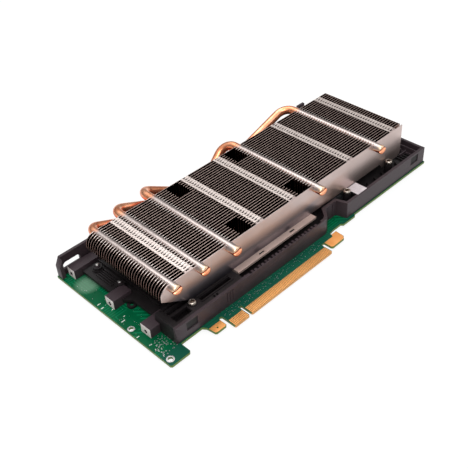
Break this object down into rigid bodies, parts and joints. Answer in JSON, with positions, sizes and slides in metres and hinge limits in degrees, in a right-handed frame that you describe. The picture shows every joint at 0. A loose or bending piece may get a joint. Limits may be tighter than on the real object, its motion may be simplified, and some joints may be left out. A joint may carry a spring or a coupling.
{
  "type": "passive accelerator card",
  "caption": "Bare dual-slot accelerator card with a full-length plated fin heat sink, copper heat pipes, black cast frame and gold card edge; slot bracket and cover removed.",
  "frame": {"origin": "centre of the board's outline, level with the undersides of the screw heads that the card rests on", "axes": "+X along the card away from the bracket end; +Y away from the contact edge; +Z from the solder side towards the heat sink"},
  "size_m": [0.2476, 0.1112, 0.0364],
  "materials": {
    "board_laminate": "glossy green solder mask over glass-fibre laminate",
    "contact_gold": "hard gold plating over copper",
    "cast_frame": "satin black coated die-cast aluminium",
    "plated_copper": "brushed nickel plating over copper",
    "plated_fins": "bright nickel-plated stamped sheet",
    "pipe_copper": "copper tube, tin-bright where it is soldered to the fins",
    "chip_epoxy": "black moulded epoxy",
    "pad_silicone": "soft grey thermal pad",
    "inductor_ferrite": "grey sintered ferrite",
    "can_aluminium": "plain aluminium can",
    "header_nylon": "black glass-filled nylon",
    "spring_steel": "plain spring steel",
    "screw_steel": "bright plated steel",
    "label_film": "blank pale grey film"
  },
  "bodies": {
    "root": {"back_contacts": "contact_gold", "backing_plate": "spring_steel", "blank_label": "label_film", "circuit_board": "board_laminate", "far_side_plate": "plated_fins", "fins_far_centre": "plated_fins", "fins_far_left": "plated_fins", "fins_far_right": "plated_fins", "fins_middle": "plated_fins", "fins_near_centre": "plated_fins", "fins_near_left": "plated_fins", "fins_near_right": "plated_fins", "frame_bosses": "cast_frame", "frame_bracket_wall": "cast_frame", "frame_decks": "cast_frame", "frame_end_wall": "cast_frame", "frame_far_wall": "cast_frame", "frame_floor": "cast_frame", "frame_near_wall": "cast_frame", "frame_screws": "screw_steel", "front_contacts": "contact_gold", "header_pins_6": "contact_gold", "header_pins_8": "contact_gold", "heat_pipe_a": "pipe_copper", "heat_pipe_b": "pipe_copper", "heat_pipe_c": "pipe_copper", "heat_pipe_d": "pipe_copper", "heat_pipe_e": "pipe_copper", "heatsink_base": "plated_copper", "heatsink_screws": "screw_steel", "memory_chips": "chip_epoxy", "near_side_plate": "plated_fins", "post_caps": "screw_steel", "power_capacitors": "can_aluminium", "power_chips": "chip_epoxy", "power_header_6": "header_nylon", "power_header_8": "header_nylon", "power_inductors": "inductor_ferrite", "processor_lid": "plated_copper", "processor_substrate": "board_laminate", "screw_springs": "spring_steel", "standoff_posts": "cast_frame", "thermal_pads": "pad_silicone", "top_screws": "screw_steel"}
  },
  "joints": []
}
